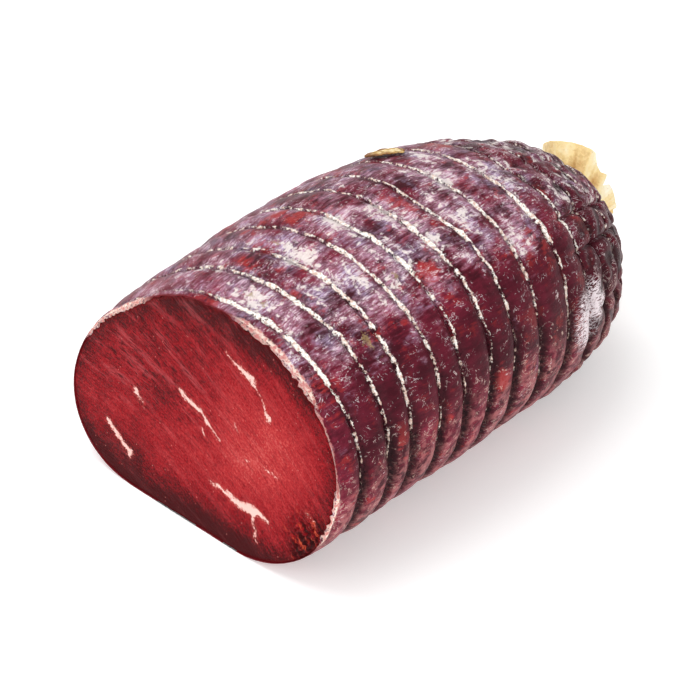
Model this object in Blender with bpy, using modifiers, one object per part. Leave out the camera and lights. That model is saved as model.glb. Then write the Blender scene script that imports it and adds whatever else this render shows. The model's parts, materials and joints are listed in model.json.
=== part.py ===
"""Half of a bresaola: a cured, air-dried roll of beef in its casing.

The roll lies along +Y on the plane z = 0. Its flat cut end faces -Y and its
closed end faces +Y, where the gathered casing stands out as a dry ruffled
tail. A small loose flap of casing lies on the far upper side. The origin is
under the middle of the whole piece. Metres, +Z up.
"""

import math

import bmesh
import bpy
from mathutils import Vector
from mathutils import noise

# The cut end's middle, seen from the origin
CUT_PLACE = Vector((0.00188, -0.09625, 0.0))

# Overall form, metres
HALF_WIDTH = 0.062
HALF_HEIGHT = 0.0387
ROLL_LENGTH = 0.179
AXIS_HEIGHT = 0.0357
GROUND_FLAT = 0.0004

# The section's departure from an oval: order, cosine share, sine share
SECTION_WAVES = (
    (2, 0.0, 0.070),
    (3, -0.018, -0.046),
    (4, -0.025, 0.007),
    (5, 0.008, 0.012),
    (6, 0.002, -0.008),
)

# Taper towards the closed end: power of the station, power of the root
WIDTH_TAPER = (4.883, 1.914)
HEIGHT_TAPER = (8.072, 2.602)
WIDTH_BARREL = 0.010
HEIGHT_BARREL = 0.194

# Drift of the middle line at the closed end, metres, and how late it comes
SIDE_DRIFT = -0.00303
SIDE_DRIFT_POWER = 3.222
DOWN_DRIFT = -0.00646
DOWN_DRIFT_POWER = 2.6

# The cut leans back at its top and a little to the left
CUT_SLOPE_X = -0.044
CUT_SLOPE_Z = 0.15

# Where the netting pinched the roll, metres from the cut end along the roll
PINCHES = (
    0.0092, 0.0217, 0.0320, 0.0445, 0.0554, 0.0679, 0.0796,
    0.0937, 0.1090, 0.1220, 0.1340, 0.1455, 0.1560, 0.1660,
)
PINCH_DEPTH = 0.0021
PINCH_TOP_SHARE = 0.50
PINCH_WANDER = 0.00045
PINCH_PHASE = 2.3
CREST_LEVEL = 0.8
CUT_EDGE_PINCH = 0.25

# Lengthwise pleats where the casing is gathered at the closed end
PLEATS = 14
PLEAT_DEPTH = 0.0024
PLEAT_START = 0.106
PLEAT_FULL = 0.138
PLEAT_EASE = 0.955
PLEAT_DRIFT = 0.011
PLEAT_UNEVEN = 0.10

# Soft unevenness of the whole surface
LUMP_HEIGHT = 0.0011
LUMP_SIZE = 0.024
LUMP_SEED = Vector((3.1, 7.7, 1.9))

# Mesh of the roll: columns for each pleat and rows for each band
COLUMNS_PER_PLEAT = 4
BAND_ROWS = (0.0, 0.13, 0.37, 0.63, 0.87)

# Gathered tail of casing behind the closed end, a fan round the middle line
TAIL_ROOT = Vector((-0.0030, 0.1799, 0.0290))
TAIL_NECK = 0.0032
TAIL_WALL = 0.0008
TAIL_FROM = math.radians(-12.0)
TAIL_TO = math.radians(232.0)
TAIL_SPREAD_FROM = math.radians(16.0)
TAIL_SPREAD_TO = math.radians(66.0)
TAIL_OPENS_FROM = 0.08
TAIL_OPENS_TO = 0.60
TAIL_EDGE = (
    # degrees round the root and how far the tail reaches there
    (-12.0, 0.0156), (6.0, 0.0184), (24.0, 0.0198), (40.0, 0.0188),
    (56.0, 0.0198), (70.0, 0.0206), (75.0, 0.0186), (77.5, 0.0226),
    (84.0, 0.0222), (90.0, 0.0238), (96.0, 0.0279), (108.0, 0.0293),
    (120.0, 0.0308), (132.0, 0.0324), (144.0, 0.0344), (149.0, 0.0320),
    (158.0, 0.0260), (172.0, 0.0210), (190.0, 0.0210), (208.0, 0.0225),
    (220.0, 0.0200), (232.0, 0.0130),
)
TAIL_RUFFLE = 0.0010
TAIL_RUFFLES = 5.5
TAIL_COLUMNS = 88
TAIL_ROWS = 6

# Loose flap of casing on the far upper side
FLAP_MIDDLE = 0.0998
FLAP_LENGTH = 0.0080
FLAP_ANGLE = math.radians(105.0)
FLAP_TURN = math.radians(-4.0)
FLAP_SPREAD = math.radians(13.0)
FLAP_WALL = 0.0007
FLAP_LIFT = 0.0006
FLAP_GAP = 0.0009
FLAP_COLUMNS = 12
FLAP_ROWS = 6

# Colours and finishes
CASING_COLOUR = (0.115, 0.024, 0.045, 1.0)
MEAT_COLOUR = (0.270, 0.018, 0.020, 1.0)
DRY_COLOUR = (0.780, 0.600, 0.310, 1.0)


def clear_scene():
    """Remove every object, so that the script starts from nothing."""
    for thing in list(bpy.data.objects):
        bpy.data.objects.remove(thing, do_unlink=True)


def make_material(name, colour, roughness):
    """A plain Principled material."""
    material = bpy.data.materials.new(name)
    material.use_nodes = True
    shader = material.node_tree.nodes["Principled BSDF"]
    shader.inputs["Base Color"].default_value = colour
    shader.inputs["Roughness"].default_value = roughness
    shader.inputs["Metallic"].default_value = 0.0
    return material


def section_point(angle):
    """Offset of the uncut section from the middle line at its full size."""
    swell = 1.0
    for order, cosine, sine in SECTION_WAVES:
        swell += cosine * math.cos(order * angle) + sine * math.sin(order * angle)
    return (
        HALF_WIDTH * swell * math.cos(angle),
        HALF_HEIGHT * swell * math.sin(angle),
    )


def smooth_step(low, high, value):
    """0 below low, 1 above high and a smooth rise between."""
    share = min(max((value - low) / (high - low), 0.0), 1.0)
    return share * share * (3.0 - 2.0 * share)


def taper(station, powers):
    """Share of the full size that is left at a station from 0 to 1."""
    station_power, root_power = powers
    return max(1.0 - station ** station_power, 0.0) ** (1.0 / root_power)


def roll_point(along, angle, proud=0.0):
    """Point of the smooth roll; proud moves it out from the middle line."""
    station = min(max(along / ROLL_LENGTH, 0.0), 1.0)
    barrel = math.sin(math.pi * station)
    side, rise = section_point(angle)
    side *= taper(station, WIDTH_TAPER) * (1.0 + WIDTH_BARREL * barrel)
    rise *= taper(station, HEIGHT_TAPER) * (1.0 + HEIGHT_BARREL * barrel)
    reach = math.hypot(side, rise)
    grow = 1.0 + proud / reach if reach > abs(proud) else 1.0
    middle_x = SIDE_DRIFT * station ** SIDE_DRIFT_POWER
    middle_z = (
        AXIS_HEIGHT
        + DOWN_DRIFT * station ** DOWN_DRIFT_POWER
        + HEIGHT_BARREL * barrel * HALF_HEIGHT
    )
    return Vector((middle_x + side * grow, along, middle_z + rise * grow))


def pinch_line(index, angle):
    """Distance along the roll of one pinch, which wanders a little."""
    phase = PINCH_PHASE * index
    slow = math.sin(2.0 * angle + phase)
    quick = 0.6 * math.sin(5.0 * angle + 1.7 * phase)
    return PINCHES[index] + PINCH_WANDER * (slow + quick)


def cut_line(angle):
    """Distance along the roll of the cut edge."""
    side, rise = section_point(angle)
    return CUT_SLOPE_X * side + CUT_SLOPE_Z * rise


def band_start(band, angle):
    """Distance along the roll where a band begins."""
    return cut_line(angle) if band == 0 else pinch_line(band - 1, angle)


def band_distance(band, share, angle):
    """Distance along the roll inside one band, share from 0 to 1."""
    start = band_start(band, angle)
    if band == len(PINCHES):
        return ROLL_LENGTH - (ROLL_LENGTH - start) * (1.0 - share) ** 2
    return start + (pinch_line(band, angle) - start) * share


def pinch_relief(band, share, angle):
    """How far a band bulges out between its pinches or sinks at them."""
    sides = PINCH_TOP_SHARE + (1.0 - PINCH_TOP_SHARE) * math.cos(angle) ** 2
    arch = math.sqrt(max(4.0 * share * (1.0 - share), 0.0))
    if band == 0 and share < 0.5:
        arch = max(arch, 1.0 - CUT_EDGE_PINCH)
    if band == len(PINCHES) and share > 0.25:
        arch = math.sqrt(0.75)
    return PINCH_DEPTH * sides * (arch - CREST_LEVEL)


def pleat_relief(along, even_angle):
    """How far the gathered casing stands out or folds in near the end."""
    gathered = smooth_step(PLEAT_START, PLEAT_FULL, along)
    ease = 1.0 - smooth_step(PLEAT_EASE * ROLL_LENGTH, ROLL_LENGTH, along)
    fold = abs(math.sin(0.5 * PLEATS * even_angle))
    uneven = 0.7 + 0.5 * math.sin(3.0 * even_angle + along / PLEAT_DRIFT)
    return PLEAT_DEPTH * gathered * ease * uneven * (math.sqrt(fold) - CREST_LEVEL)


def pleat_turn(angle):
    """Turn the even columns a little, so that the pleats are uneven."""
    slow = math.sin(3.0 * angle + 0.8)
    quick = 0.5 * math.sin(5.0 * angle)
    return angle + PLEAT_UNEVEN * (slow + quick)


def skin_point(along, angle, proud):
    """Point of the roll with the soft unevenness of its surface."""
    smooth = roll_point(along, angle)
    rough = LUMP_HEIGHT * noise.noise(smooth / LUMP_SIZE + LUMP_SEED)
    return roll_point(along, angle, proud + rough)


def surface_point(row, column_angle):
    """Point of the finished surface at a mesh row and a column's angle."""
    band, step = divmod(row, len(BAND_ROWS))
    share = BAND_ROWS[step]
    angle = pleat_turn(column_angle)
    along = band_distance(band, share, angle)
    proud = pinch_relief(band, share, angle) + pleat_relief(along, column_angle)
    point = skin_point(along, angle, proud)
    if row == 0:
        point.y = CUT_SLOPE_X * point.x + CUT_SLOPE_Z * (point.z - AXIS_HEIGHT)
    point.z = max(point.z, GROUND_FLAT) - GROUND_FLAT
    return point


def make_roll(collection, materials):
    """The cured beef: a globe whose poles are the cut and the closed end."""
    columns = PLEATS * COLUMNS_PER_PLEAT
    rows = len(BAND_ROWS) * (len(PINCHES) + 1)
    mesh = bpy.data.meshes.new("cured_beef")
    shape = bmesh.new()
    bmesh.ops.create_uvsphere(shape, u_segments=columns, v_segments=rows + 1, radius=1.0)
    for vertex in shape.verts:
        ring = round(math.acos(min(max(vertex.co.z, -1.0), 1.0)) * (rows + 1) / math.pi)
        if ring == 0:
            vertex.co = Vector((0.0, 0.0, AXIS_HEIGHT - GROUND_FLAT))
        elif ring == rows + 1:
            vertex.co = roll_point(ROLL_LENGTH, 0.0) - Vector((0.0, 0.0, GROUND_FLAT))
        else:
            turn = math.atan2(vertex.co.y, vertex.co.x)
            column = round(turn * columns / math.tau)
            vertex.co = surface_point(ring - 1, math.tau * column / columns)
    for face in shape.faces:
        face.smooth = True
        if len(face.verts) == 3 and face.calc_center_median().y < 0.5 * ROLL_LENGTH:
            face.material_index = 1
            face.smooth = False
    shape.to_mesh(mesh)
    shape.free()
    for material in materials:
        mesh.materials.append(material)
    roll = bpy.data.objects.new("cured_beef", mesh)
    collection.objects.link(roll)
    return roll


def make_leaf(name, columns, rows, place, wall, collection, material):
    """A thin wavy sheet from a grid; place maps two shares to a point."""
    mesh = bpy.data.meshes.new(name)
    shape = bmesh.new()
    bmesh.ops.create_grid(shape, x_segments=columns, y_segments=rows, size=0.5)
    for vertex in shape.verts:
        vertex.co = place(vertex.co.x + 0.5, vertex.co.y + 0.5)
    bmesh.ops.triangulate(shape, faces=shape.faces)
    bmesh.ops.recalc_face_normals(shape, faces=shape.faces)
    for face in shape.faces:
        face.smooth = True
    shape.to_mesh(mesh)
    shape.free()
    mesh.materials.append(material)
    leaf = bpy.data.objects.new(name, mesh)
    collection.objects.link(leaf)
    thicken = leaf.modifiers.new("wall", "SOLIDIFY")
    thicken.thickness = wall
    thicken.offset = 0.0
    return leaf


def tail_reach(angle):
    """How far the tail reaches from its root at one angle round it."""
    turn = math.degrees(angle)
    for (start, first), (end, second) in zip(TAIL_EDGE, TAIL_EDGE[1:]):
        if turn <= end:
            return first + (second - first) * (turn - start) / (end - start)
    return TAIL_EDGE[-1][1]


def tail_point(across, outward):
    """Point of the tail: a ruffled fan that opens from its root."""
    angle = TAIL_FROM + (TAIL_TO - TAIL_FROM) * across
    opened = smooth_step(TAIL_OPENS_FROM, TAIL_OPENS_TO, across)
    spread = TAIL_SPREAD_FROM + (TAIL_SPREAD_TO - TAIL_SPREAD_FROM) * opened
    sideways = Vector((math.cos(angle), 0.0, math.sin(angle)))
    backwards = Vector((0.0, 1.0, 0.0))
    along = sideways * math.sin(spread) + backwards * math.cos(spread)
    facing = sideways * math.cos(spread) - backwards * math.sin(spread)
    ruffle = TAIL_RUFFLE * outward * math.sin(math.tau * TAIL_RUFFLES * across + 0.6)
    neck = sideways * TAIL_NECK * (1.0 - outward)
    return TAIL_ROOT + neck + along * tail_reach(angle) * outward + facing * ruffle


def flap_point(along_share, round_share):
    """Point of the flap: a narrow lens that arches off the roll."""
    bulge = math.sin(math.pi * (0.12 + 0.70 * along_share))
    turn = FLAP_TURN * (along_share - 0.5) + FLAP_SPREAD * (0.5 - round_share) * bulge
    along = FLAP_MIDDLE + FLAP_LENGTH * (along_share - 0.5)
    lift = FLAP_LIFT * math.sin(math.pi * (0.10 + 0.62 * round_share)) * bulge
    return skin_point(along, FLAP_ANGLE + turn, FLAP_GAP + lift)


def main():
    clear_scene()
    collection = bpy.data.collections.new("bresaola")
    bpy.context.scene.collection.children.link(collection)
    casing = make_material("cured casing", CASING_COLOUR, 0.55)
    meat = make_material("cut lean", MEAT_COLOUR, 0.45)
    dry = make_material("dry casing", DRY_COLOUR, 0.50)
    place = bpy.data.objects.new("bresaola_place", None)
    place.location = CUT_PLACE
    collection.objects.link(place)
    pieces = (
        make_roll(collection, (casing, meat)),
        make_leaf("casing_tail", TAIL_COLUMNS, TAIL_ROWS, tail_point, TAIL_WALL, collection, dry),
        make_leaf("casing_flap", FLAP_COLUMNS, FLAP_ROWS, flap_point, FLAP_WALL, collection, dry),
    )
    for piece in pieces:
        piece.parent = place


main()
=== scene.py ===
"""Looks of a bresaola half: its casing, its cut end, its dry tail and flap."""

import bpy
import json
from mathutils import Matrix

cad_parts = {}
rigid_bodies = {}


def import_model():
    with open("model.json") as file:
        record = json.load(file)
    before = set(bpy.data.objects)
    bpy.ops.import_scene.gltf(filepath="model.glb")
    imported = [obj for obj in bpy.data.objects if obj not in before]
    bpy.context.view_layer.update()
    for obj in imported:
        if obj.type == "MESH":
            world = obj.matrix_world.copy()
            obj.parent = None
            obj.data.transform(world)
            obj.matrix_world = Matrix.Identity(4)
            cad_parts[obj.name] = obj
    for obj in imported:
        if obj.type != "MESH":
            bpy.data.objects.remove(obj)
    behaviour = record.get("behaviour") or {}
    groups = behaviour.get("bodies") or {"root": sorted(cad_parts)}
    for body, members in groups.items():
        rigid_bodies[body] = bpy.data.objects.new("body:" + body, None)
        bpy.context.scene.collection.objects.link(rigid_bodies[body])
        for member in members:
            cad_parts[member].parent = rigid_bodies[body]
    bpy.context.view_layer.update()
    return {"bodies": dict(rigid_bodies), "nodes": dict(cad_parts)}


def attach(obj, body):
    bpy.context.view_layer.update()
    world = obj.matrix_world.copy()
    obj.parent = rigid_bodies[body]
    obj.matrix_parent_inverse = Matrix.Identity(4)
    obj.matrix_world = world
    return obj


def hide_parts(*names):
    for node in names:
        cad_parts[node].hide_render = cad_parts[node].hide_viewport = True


bl_info = {
    "name": "Bresaola Half",
    "version": (1, 0, 0),
    "blender": (4, 5, 0),
    "location": "3D View > Sidebar > Bresaola",
    "description": "Builds the casing, the cut end and the dry tail of a cured beef roll",
    "category": "Object",
}

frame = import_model()

import json
import math

import bmesh
import bpy
from mathutils import Euler
from mathutils import Vector
from mathutils import noise

MM = 0.001
WHITE = (1.0, 1.0, 1.0, 1.0)

# The cut end's middle on the ground, and the form of the roll, metres
CUT_PLACE = Vector((0.00188, -0.09625, 0.0))
HALF_WIDTH = 0.062
HALF_HEIGHT = 0.0387
ROLL_LENGTH = 0.179
AXIS_HEIGHT = 0.0357
CUT_MIDDLE = Vector((0.0, 0.0, AXIS_HEIGHT))
GROUND_FLAT = 0.0004
SECTION_WAVES = (
    (2, 0.0, 0.070),
    (3, -0.018, -0.046),
    (4, -0.025, 0.007),
    (5, 0.008, 0.012),
    (6, 0.002, -0.008),
)
WIDTH_TAPER = (4.883, 1.914)
HEIGHT_TAPER = (8.072, 2.602)
WIDTH_BARREL = 0.010
HEIGHT_BARREL = 0.194
SIDE_DRIFT = -0.00303
SIDE_DRIFT_POWER = 3.222
DOWN_DRIFT = -0.00646
DOWN_DRIFT_POWER = 2.6
CUT_SLOPE_X = -0.044
CUT_SLOPE_Z = 0.15

# Pinch lines of the netting, metres from the cut end
PINCHES = (
    0.0092, 0.0217, 0.0320, 0.0445, 0.0554, 0.0679, 0.0796,
    0.0937, 0.1090, 0.1220, 0.1340, 0.1455, 0.1560, 0.1660,
)
PINCH_DEPTH = 0.0021
PINCH_TOP_SHARE = 0.50
PINCH_WANDER = 0.00045
PINCH_PHASE = 2.3
CREST_LEVEL = 0.8
CUT_EDGE_PINCH = 0.25
CREASE_WIDTH = 0.45
CREASE_DEPTH = 0.00070

# Pleats of the gathered casing at the closed end
PLEATS = 14
PLEAT_DEPTH = 0.0024
PLEAT_START = 0.106
PLEAT_FULL = 0.138
PLEAT_EASE = 0.955
PLEAT_DRIFT = 0.011
PLEAT_UNEVEN = 0.10
PLEAT_SEAM = 0.13

# Soft unevenness
LUMP_HEIGHT = 0.0011
LUMP_SIZE = 0.024
LUMP_SEED = Vector((3.1, 7.7, 1.9))

# Fine relief of the casing: sizes in millimetres, heights in metres
DIMPLE_SIZE = 6.5
DIMPLE_HEIGHT = 0.00030
WRINKLE_SIZE = 2.1
WRINKLE_LENGTH = 9.0
WRINKLE_HEIGHT = 0.00022
GRIT_SIZE = 1.4
KNOB_SIZE = 4.6
KNOB_HEIGHT = 0.0012
SEAM_DEPTH = 0.0013
CRUST_HEIGHT = 0.00036
SIDE_STEP = 0.0006
SIDE_VALLEY = 0.0009
VALLEY_WIDTH = 1.7

# Mesh of the casing: columns round it, rows in a band, rows of its open end
CASING_COLUMNS = 280
BAND_STEPS = 20
ROW_CROWDING = 0.45
FLOOR_ROWS = 3
LIP_ROWS = 3

# The casing's edge at the cut: thickness, and what its parts look like, in metres and degrees
CASING_WALL = 0.0004
CRUMB_WALL = 0.0015
JAGGED_WALL = 0.0014
RECESS_DEPTH = 0.0016
LEAN_DEPTH = 0.0013
LEAN_GAP = 0.00012
LIP_BULGE = 0.00018
LIP_CRUMBS = 0.00022
CREAM_EDGE = (122.0, 168.0)
CRUMB_EDGE = (42.0, 80.0)
LINE_EDGE = (-28.0, 44.0)
FOLD_EDGE = (-24.0, 8.0)
JAGGED_EDGE = (28.0, 120.0)

# Marks on the casing: millimetres from the cut, degrees round it, and half sizes along and round
# it in millimetres, on a roll of this radius
SPOT_RADIUS = 50.0
SPOTS = {
    "red": (
        (50, 98, 5, 8), (35, 98, 4, 7), (26, 93, 2.5, 6), (74, 76, 3, 8), (71, 3, 2.5, 6), (131, 40, 4, 4),
        (119, 21, 3, 6), (117, 96, 3, 4), (60, 54, 3, 5), (88, 20, 3, 5), (27, 12, 3, 6), (5, 95, 3, 6),
    ),
    "white": (
        (54, 82, 5, 9), (67, 75, 5, 8), (58, 65, 4, 7), (36, 82, 5, 9), (15, 80, 4, 10), (95, 76, 4, 7),
        (21, 101, 4, 8), (47, 56, 5, 7), (98, 46, 4, 8), (70, 62, 4, 7), (26, 70, 3, 7), (84, 60, 3, 6),
        (112, 70, 4, 7), (41, 30, 3, 3), (41, 62, 4, 6), (104, 95, 4, 7),
    ),
    "olive": ((15, 83, 1.4, 2), (14, 77, 1.2, 2), (50, 58, 1.5, 2), (37, 92, 1.2, 2), (28, 48, 2, 3)),
    "frost": ((119, 3, 6, 10), (125, 9, 5, 8)),
}

# Values kept at the vertices of the casing
CASING_MARKS = (
    "crease", "before", "mould", "crust", "side", "upper", "far", "lip", "pale", "crumb", "knob", *SPOTS,
)

# Distances that stand for no crease near, and for no crease or cut on that side, millimetres
NO_CREASE = {"crease": 9.0, "before": 9.0, "mould": 9.0}
BEYOND = 99.0

# The crust runs a little beside its crease and wanders, millimetres
CRUST_BESIDE = 0.45
CRUST_WANDER = 0.8

# Middle of the casing's upper side, and how far a mark on it still shows, in its half sizes
UPPER_MIDDLE = math.radians(100.0)
SPOT_FADE = 2.2

# Where the crust along a crease is wide: crease, degrees from and to, half width in millimetres
CRUST_RUNS = (
    (0, 42, 90, 1.0), (1, 56, 88, 0.8), (2, 48, 78, 0.5), (3, 44, 80, 0.6), (4, 50, 80, 0.8),
    (5, 34, 76, 0.8), (6, 40, 72, 0.6), (7, 50, 84, 0.5), (8, 40, 64, 0.8), (9, 30, 60, 0.5),
)

# The rest of the crust: half widths in millimetres, and the degrees where it is thin
CRUST_LEAST = 0.09
CRUST_GAIN = 0.36
THIN_CRUST = (92.0, 170.0)

# Mesh of the cut end
LEAN_COLUMNS = 300
LEAN_RINGS = 150

# Fat streaks of the cut end: points across and up, millimetres, with half widths
FAT_STREAKS = (
    ((8.4, 64.7, 0.5), (9.4, 63.8, 0.4)),
    ((10.3, 63.5, 0.4), (13.7, 62.2, 0.7), (19.3, 60.6, 1.2), (22.2, 58.5, 0.5)),
    ((22.2, 58.5, 0.4), (25.2, 55.7, 0.25), (27.2, 53.2, 0.5), (28.9, 50.6, 1.1)),
    (
        (-12.3, 43.8, 0.6), (-7.3, 41.4, 1.1), (-3.9, 40.8, 0.7), (-1.0, 40.0, 1.0),
        (3.5, 36.8, 0.45), (8.0, 34.2, 0.3),
    ),
    ((-33.0, 34.3, 0.8), (-30.8, 32.4, 0.6), (-28.7, 30.8, 0.3)),
    (
        (-45.9, 18.4, 0.8), (-41.7, 16.2, 1.0), (-38.0, 13.9, 0.6), (-34.3, 11.6, 1.4),
        (-33.7, 10.0, 0.7),
    ),
    (
        (4.7, 18.8, 0.4), (10.8, 18.5, 0.7), (15.1, 17.6, 0.9), (18.9, 16.9, 1.3),
        (25.3, 17.8, 1.6), (29.0, 17.5, 1.0), (31.8, 16.7, 0.4),
    ),
    ((24.0, 17.5, 0.8), (25.8, 12.8, 0.45), (27.3, 7.5, 0.2)),
    ((28.3, 34.0, 0.3), (31.9, 33.6, 0.25), (36.0, 33.4, 0.2)),
    ((-0.5, 34.3, 0.35), (1.0, 33.6, 0.25)),
    ((19.2, 33.4, 0.35), (21.1, 32.8, 0.25)),
    ((14.1, 43.1, 0.2), (15.8, 40.4, 0.3)),
    ((47.7, 27.9, 0.3), (51.5, 25.6, 0.4)),
)
FAT_WARP = 1.0
FAT_WIDEN = 1.15

# The torn spot: across, up and its radius, millimetres
TORN_SPOT = (52.0, 17.0, 16.0)

# How deep the lean sinks at its edge, in its soft dips, at the fat and in the torn spot, metres
EDGE_SINK = 0.00030
DIP_SINK = 0.00012
FAT_SINK = 0.00010
TORN_SINK = 0.00090

# Tone of the lean: middles across and up, half widths, millimetres, and the change
LEAN_TONES = (
    (27.0, 39.0, 19.0, 17.0, 0.42),
    (-8.0, 24.0, 22.0, 10.0, 0.12),
    (-32.0, 46.0, 24.0, 16.0, -0.10),
    (-44.0, 6.0, 18.0, 12.0, -0.34),
    (-4.0, 3.0, 30.0, 8.0, -0.30),
    (20.0, 4.0, 24.0, 8.0, -0.24),
    (36.0, 72.0, 24.0, 10.0, -0.24),
    (-6.0, 72.0, 22.0, 9.0, -0.20),
    (52.0, 22.0, 14.0, 12.0, -0.16),
)

# Fibres of the lean fall to the right: slopes in degrees at two places across, millimetres
FIBRE_SLOPES = (8.0, 35.0)
FIBRE_SPAN = (-50.0, 45.0)

# They show most on the upper left: from where to where, across and up, millimetres
LINED_ACROSS = (20.0, -15.0)
LINED_UP = (22.0, 42.0)

# Values kept at the vertices of the lean, and the rim's distance from its middle, millimetres
LEAN_MARKS = ("bright", "rim", "fat", "torn", "lined")
MIDDLE_RIM = 35.0

# Dry tail: a ruffled fan, metres
TAIL_ROOT = Vector((-0.0030, 0.1799, 0.0290))
TAIL_NECK = 0.0032
TAIL_WALL = 0.0005
TAIL_FROM = math.radians(-12.0)
TAIL_TO = math.radians(232.0)
TAIL_SPREAD_FROM = math.radians(16.0)
TAIL_SPREAD_TO = math.radians(66.0)
TAIL_OPENS_FROM = 0.08
TAIL_OPENS_TO = 0.60
TAIL_EDGE = (
    # degrees round the root and how far the tail reaches there
    (-12.0, 0.0156), (6.0, 0.0184), (24.0, 0.0198), (40.0, 0.0188),
    (56.0, 0.0198), (70.0, 0.0206), (75.0, 0.0186), (77.5, 0.0226),
    (84.0, 0.0222), (90.0, 0.0238), (96.0, 0.0279), (108.0, 0.0293),
    (120.0, 0.0308), (132.0, 0.0324), (144.0, 0.0344), (149.0, 0.0320),
    (158.0, 0.0260), (172.0, 0.0210), (190.0, 0.0210), (208.0, 0.0225),
    (220.0, 0.0200), (232.0, 0.0130),
)
TAIL_RUFFLE = 0.0010
TAIL_RUFFLES = 5.5
TAIL_RUFFLE_START = 0.6
TAIL_CRIMP = 0.00035
TAIL_COLUMNS = 340
TAIL_ROWS = 60

# Darker and paler parts of the tail: place and half width as shares of its edge, and the change; the last,
# paler part is painted light that lifts a part lying in shade
TAIL_TONES_AND_PAINTED_LIGHT = (
    (0.60, 0.04, 1.5),
    (0.665, 0.025, -2.0),
    (0.51, 0.04, 0.5),
    (0.395, 0.02, 1.8),
    (0.32, 0.035, -1.8),
)

# Loose flap on the far upper side, metres
FLAP_MIDDLE = 0.0998
FLAP_LENGTH = 0.0080
FLAP_ANGLE = math.radians(105.0)
FLAP_TURN = math.radians(-4.0)
FLAP_SPREAD = math.radians(13.0)
FLAP_WALL = 0.0005
FLAP_LIFT = 0.0006
FLAP_GAP = 0.0009
FLAP_RAGGED = 0.30
FLAP_WRINKLE = 0.0007
FLAP_COLUMNS = 80
FLAP_ROWS = 60

# The camera: where it looks from and at, degrees and metres
CAMERA_AZIMUTH = math.radians(44.86)
CAMERA_ELEVATION = math.radians(32.25)
CAMERA_ROLL = math.radians(1.61)
CAMERA_DISTANCE = 0.900
CAMERA_AIM = Vector((-0.0105, -0.01837, 0.0216))
CAMERA_LENS = 139.0

# The stage: the floor's side, the room's even light, and lights by name, place, side and power
FLOOR_SIZE = 6.0
FLOOR_GLOW = 0.27
ROOM_LIGHT = 0.72
LIGHT_AIM = (0.0, 0.0, 0.04)
LIGHTS = (
    ("key", (-0.35, -0.15, 1.05), 0.9, 5.2),
    ("front", (-0.25, -1.05, 0.55), 0.7, 2.2),
    ("right", (1.0, -0.5, 0.5), 0.7, 4.3),
)


def tint(red, green, blue):
    """A linear colour from values of 0 to 255 as a screen shows them."""
    linear = []
    for value in (red, green, blue):
        share = value / 255.0
        if share <= 0.04045:
            linear.append(share / 12.92)
        else:
            linear.append(((share + 0.055) / 1.055) ** 2.4)
    return (*linear, 1.0)


def smooth_step(low, high, value):
    """0 below low, 1 above high and a smooth rise between."""
    share = min(max((value - low) / (high - low), 0.0), 1.0)
    return share * share * (3.0 - 2.0 * share)


def bell(away):
    """1 in the middle, falling off smoothly to both sides."""
    return math.exp(-away * away)


def section_point(angle):
    """Offset of the uncut section from the middle line at its full size."""
    swell = 1.0
    for order, cosine, sine in SECTION_WAVES:
        swell += cosine * math.cos(order * angle) + sine * math.sin(order * angle)
    return (
        HALF_WIDTH * swell * math.cos(angle),
        HALF_HEIGHT * swell * math.sin(angle),
    )


def taper(station, powers):
    """Share of the full size that is left at a station from 0 to 1."""
    station_power, root_power = powers
    return max(1.0 - station ** station_power, 0.0) ** (1.0 / root_power)


def roll_point(along, angle, proud=0.0):
    """Point of the smooth roll; proud moves it out from the middle line."""
    station = min(max(along / ROLL_LENGTH, 0.0), 1.0)
    barrel = math.sin(math.pi * station)
    side, rise = section_point(angle)
    side *= taper(station, WIDTH_TAPER) * (1.0 + WIDTH_BARREL * barrel)
    rise *= taper(station, HEIGHT_TAPER) * (1.0 + HEIGHT_BARREL * barrel)
    reach = math.hypot(side, rise)
    grow = 1.0 + proud / reach if reach > abs(proud) else 1.0
    middle_x = SIDE_DRIFT * station ** SIDE_DRIFT_POWER
    middle_z = (
        AXIS_HEIGHT
        + DOWN_DRIFT * station ** DOWN_DRIFT_POWER
        + HEIGHT_BARREL * barrel * HALF_HEIGHT
    )
    return Vector((middle_x + side * grow, along, middle_z + rise * grow))


def pinch_line(index, angle):
    """Distance along the roll of one pinch, which wanders a little."""
    phase = PINCH_PHASE * index
    slow = math.sin(2.0 * angle + phase)
    quick = 0.6 * math.sin(5.0 * angle + 1.7 * phase)
    return PINCHES[index] + PINCH_WANDER * (slow + quick)


def cut_line(angle):
    """Distance along the roll of the cut edge."""
    side, rise = section_point(angle)
    return CUT_SLOPE_X * side + CUT_SLOPE_Z * rise


def band_start(band, angle):
    """Distance along the roll where a band begins."""
    return cut_line(angle) if band == 0 else pinch_line(band - 1, angle)


def band_distance(band, share, angle):
    """Distance along the roll inside one band, share from 0 to 1."""
    start = band_start(band, angle)
    if band == len(PINCHES):
        return ROLL_LENGTH - (ROLL_LENGTH - start) * (1.0 - share) ** 2
    return start + (pinch_line(band, angle) - start) * share


def pinch_relief(band, share, angle):
    """How far a band bulges out between its pinches or sinks at them."""
    sides = PINCH_TOP_SHARE + (1.0 - PINCH_TOP_SHARE) * math.cos(angle) ** 2
    arch = math.sqrt(max(4.0 * share * (1.0 - share), 0.0))
    if band == 0 and share < 0.5:
        arch = max(arch, 1.0 - CUT_EDGE_PINCH)
    if band == len(PINCHES) and share > 0.25:
        arch = math.sqrt(0.75)
    return PINCH_DEPTH * sides * (arch - CREST_LEVEL)


def pleat_relief(along, even_angle):
    """How far the gathered casing stands out or folds in near the end."""
    gathered = smooth_step(PLEAT_START, PLEAT_FULL, along)
    ease = 1.0 - smooth_step(PLEAT_EASE * ROLL_LENGTH, ROLL_LENGTH, along)
    fold = abs(math.sin(0.5 * PLEATS * even_angle))
    uneven = 0.7 + 0.5 * math.sin(3.0 * even_angle + along / PLEAT_DRIFT)
    return PLEAT_DEPTH * gathered * ease * uneven * (math.sqrt(fold) - CREST_LEVEL)


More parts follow.
